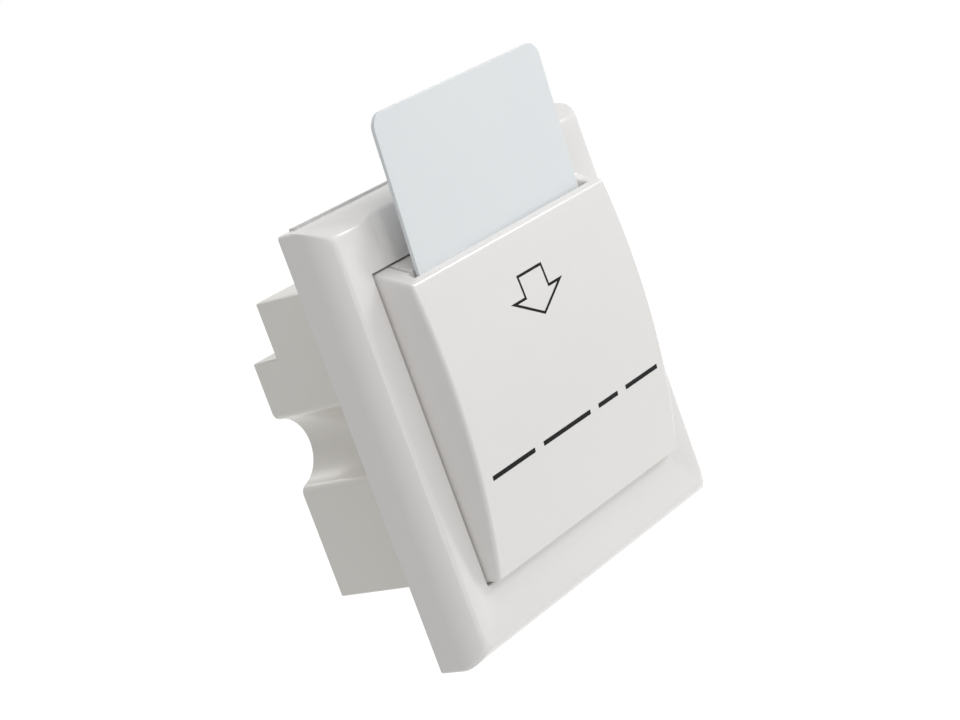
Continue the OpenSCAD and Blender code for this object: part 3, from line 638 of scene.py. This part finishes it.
def wall_plate():
    """The plate's mesh: front grid, back grid, outer edge and the edge of the window."""
    x_lines, z_lines = plate_lines()
    grid_x, grid_z = np.meshgrid(x_lines, z_lines)
    x, z = rounded_outline(grid_x, grid_z)
    back = back_depth(grid_x, grid_z)
    front = np.maximum(seat_depth(grid_x, grid_z, plate_depth(x, z)), back)
    points = np.concatenate([np.stack([x, -front, z], -1), np.stack([x, -back, z], -1)]).reshape(-1, 3)
    index = np.arange(x.size).reshape(x.shape)
    left, right = np.searchsorted(x_lines, WINDOW[:2])
    low, high = np.searchsorted(z_lines, WINDOW[2:])
    solid = np.ones((len(z_lines) - 1, len(x_lines) - 1), bool)
    solid[low:high, left:right] = False
    sheet = grid_faces(*x.shape)[solid.ravel()]
    outer = edge_strip(ring_of(index), x.size)
    window = edge_strip(ring_of(index[low:high + 1, left:right + 1]), x.size)
    faces = np.concatenate([sheet, sheet + x.size, outer, window])
    return mesh_object("wall_plate", points, faces, PLATE_MERGE)


plate = smooth(wall_plate())
plate.data.materials.append(white_abs)
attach(plate, "base")
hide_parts("front_plate")
print("plate faces:", len(plate.data.polygons))

# %% [markdown]
# ## Printed sign
# A black block arrow on the pocket shows where the card goes, and a plain broken line runs below it.
# Both are ink, so they are films a few hundredths of a millimetre thick that lie on the pocket's curved
# front. The arrow is a ribbon carried round its outline with mitred corners, and the curve of the front
# gives each point its depth.

# %% Ink on the curved front
BELLY = 18.0
BELLY_Z = 10.0
FRONT_R = 146.0
INK = 0.03
INK_MERGE = 0.001


def front_depth(z):
    """Depth of the pocket's front at a height: a circle about a middle far behind the belly."""
    return BELLY - FRONT_R + np.sqrt(FRONT_R ** 2 - (z - BELLY_Z) ** 2)


def ribbon_round(corners, width, steps):
    """Ribbon round a closed outline. Each side is split into steps, and its edges lie half a width to the
    left and right of it. At a corner both edges sit on the bisector, moved out by half a width over the
    cosine of half the turn, which makes a mitre."""
    corners = np.array(corners)
    ahead = np.roll(corners, -1, 0) - corners
    ahead = ahead / np.linalg.norm(ahead, axis=1, keepdims=True)
    left = np.column_stack([-ahead[:, 1], ahead[:, 0]])
    bisector = left + np.roll(left, 1, 0)
    mitre = bisector / (bisector * left).sum(1, keepdims=True)
    along = np.linspace(0, 1, steps, endpoint=False)[None, :, None]
    sides = []
    for reach in (width / 2, -width / 2):
        edge = corners + mitre * reach
        sides.append((edge[:, None] * (1 - along) + np.roll(edge, -1, 0)[:, None] * along).reshape(-1, 2))
    return np.stack(sides, 1)


def ink_piece(name, spots, closed):
    """Thin ink film through rows of (x, z) spots on the pocket's front."""
    rows = np.concatenate([spots, spots[:1]]) if closed else spots
    x, z = rows[..., 0], rows[..., 1]
    points = np.stack([x, -front_depth(z) - INK, z], -1)
    film = mesh_object(name, points, grid_faces(*x.shape), INK_MERGE)
    film.data.materials.append(sign_ink)
    thick = film.modifiers.new("film", "SOLIDIFY")
    thick.thickness = INK * MM
    thick.offset = -1
    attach(film, "base")
    return film


print("depth of the pocket's front in mm at the belly:", front_depth(BELLY_Z))

# %% [markdown]
# The arrow stands a little left of the middle. Where the real pocket has a line of words, a broken line
# of four plain dashes stands in for it.

# %% Arrow and broken line
ARROW_LINE = 0.52
ARROW_STEPS = 10
ARROW_MIDDLE = -0.45
SHAFT_HALF = 3.95
HEAD_HALF = 7.8
ARROW_TOP = 18.75
SHOULDER = 14.45
ARROW_TIP = 10.2
DASH_Z = -11.7
DASH_HIGH = 0.9
DASH_ROWS = 3
DASHES = [(-29.2, -15.1), (-12.1, 4.4), (7.4, 14.5), (17.5, 29.5)]

arrow_outline = [(ARROW_MIDDLE + x, z) for x, z in (
    (-SHAFT_HALF, ARROW_TOP), (SHAFT_HALF, ARROW_TOP), (SHAFT_HALF, SHOULDER), (HEAD_HALF, SHOULDER),
    (0, ARROW_TIP), (-HEAD_HALF, SHOULDER), (-SHAFT_HALF, SHOULDER))]
arrow = ink_piece("arrow_sign", ribbon_round(arrow_outline, ARROW_LINE, ARROW_STEPS), True)

dash_rows = DASH_Z + DASH_HIGH * np.linspace(-0.5, 0.5, DASH_ROWS)
for number, ends in enumerate(DASHES):
    ink_piece(f"line_dash_{number + 1}", np.stack(np.meshgrid(ends, dash_rows), -1), False)
print("arrow points:", len(arrow.data.vertices), "dashes:", len(DASHES))

# %% [markdown]
# ## Stage
# The product picture has a white ground and no visible floor. So the floor lies well below the object,
# and it glows a little where the camera or a reflection sees it, which makes it white without lighting
# the object. The room is white in the same way, but as a source of light it is weaker, so that the left
# sides stay grey.

# %% Floor and room
FLOOR_Z = -0.3
FLOOR_HALF = 3.0
FLOOR_GLOW = 0.75
ROOM_LEVEL = 0.4


def any_ray(tree, kinds):
    """1 for light paths of any of these kinds, and 0 for all others."""
    path = add(tree, "ShaderNodeLightPath")
    found = path.outputs[kinds[0]]
    for kind in kinds[1:]:
        either = add(tree, "ShaderNodeMath", {0: found, 1: path.outputs[kind]}, operation="MAXIMUM")
        found = either.outputs[0]
    return found


def paper_floor(name):
    """Pale matt paper that glows only where it is seen, straight or in a reflection."""
    material, tree, shader, _ = new_finish(name, Roughness=0.9)
    shader.inputs["Base Color"].default_value = hex_linear("F4F4F2")
    shader.inputs["Emission Color"].default_value = hex_linear("FFFFFF")
    seen = any_ray(tree, ["Is Camera Ray", "Is Glossy Ray"])
    glow = add(tree, "ShaderNodeMath", {0: seen, 1: FLOOR_GLOW}, operation="MULTIPLY")
    tree.links.new(glow.outputs[0], shader.inputs["Emission Strength"])
    return material


def room_light(name):
    """World that is white where it is seen and weaker as a source of light."""
    world = bpy.data.worlds.new(name)
    world.use_nodes = True
    room = world.node_tree
    seen = any_ray(room, ["Is Camera Ray", "Is Glossy Ray", "Is Transmission Ray"])
    level = add(room, "ShaderNodeMapRange", {0: seen, 3: ROOM_LEVEL, 4: 1.0})
    backdrop = room.nodes["Background"]
    backdrop.inputs["Color"].default_value = hex_linear("FFFFFF")
    room.links.new(level.outputs[0], backdrop.inputs["Strength"])
    return world


floor_corners = np.array([[-1, -1], [1, -1], [1, 1], [-1, 1]]) * FLOOR_HALF / MM
floor = mesh_object("floor", np.column_stack([floor_corners, np.full(4, FLOOR_Z / MM)]), [[0, 1, 2, 3]])
floor.data.materials.append(paper_floor("pale_paper_floor"))
bpy.context.scene.world = room_light("even_room_light")
print("floor at mm:", FLOOR_Z / MM, "room light:", ROOM_LEVEL)

# %% [markdown]
# ## Soft boxes
# A large soft box at the front right and above gives the main light, with a small one of nearly its
# power beside it. Weaker ones fill in from the low right, the front left, low in front, above and the
# upper left, and one stands behind. Their places and powers were fitted until the greys came near those
# of the picture.

# %% Soft boxes
SOFT_BOXES = [  # name, place in mm, width and height in mm, watts
    ("front_box", (280, -490, 260), (600, 400), 0.68),
    ("right_box", (420, -350, 255), (150, 150), 0.66),
    ("low_right_box", (580, -100, -125), (250, 250), 0.2),
    ("front_left_box", (-94, -536, 254), (300, 300), 0.25),
    ("low_front_box", (-190, -560, -115), (90, 200), 0.16),
    ("top_box", (0, -200, 590), (400, 400), 0.26),
    ("left_top_box", (-220, -265, 490), (300, 300), 0.3),
    ("back_box", (85, 484, 344), (250, 250), 0.5),
]


def soft_box(name, spot_mm, size_mm, watts):
    """Area lamp of a width and a height at a spot, turned towards the middle of the object."""
    lamp = bpy.data.lights.new(name, "AREA")
    lamp.shape = "RECTANGLE"
    lamp.size = size_mm[0] * MM
    lamp.size_y = size_mm[1] * MM
    lamp.energy = watts
    holder = bpy.data.objects.new(name, lamp)
    holder.location = Vector(spot_mm) * MM
    holder.rotation_mode = "QUATERNION"
    holder.rotation_quaternion = (-Vector(spot_mm)).to_track_quat("-Z", "Y")
    bpy.context.scene.collection.objects.link(holder)


for row in SOFT_BOXES:
    soft_box(*row)
print("lamps:", len(SOFT_BOXES))

# %% [markdown]
# ## View settings
# The picture's tones are plain screen values, so the view uses the standard transform, with no film
# curve.

# %% View settings
bpy.context.scene.view_settings.view_transform = "Standard"
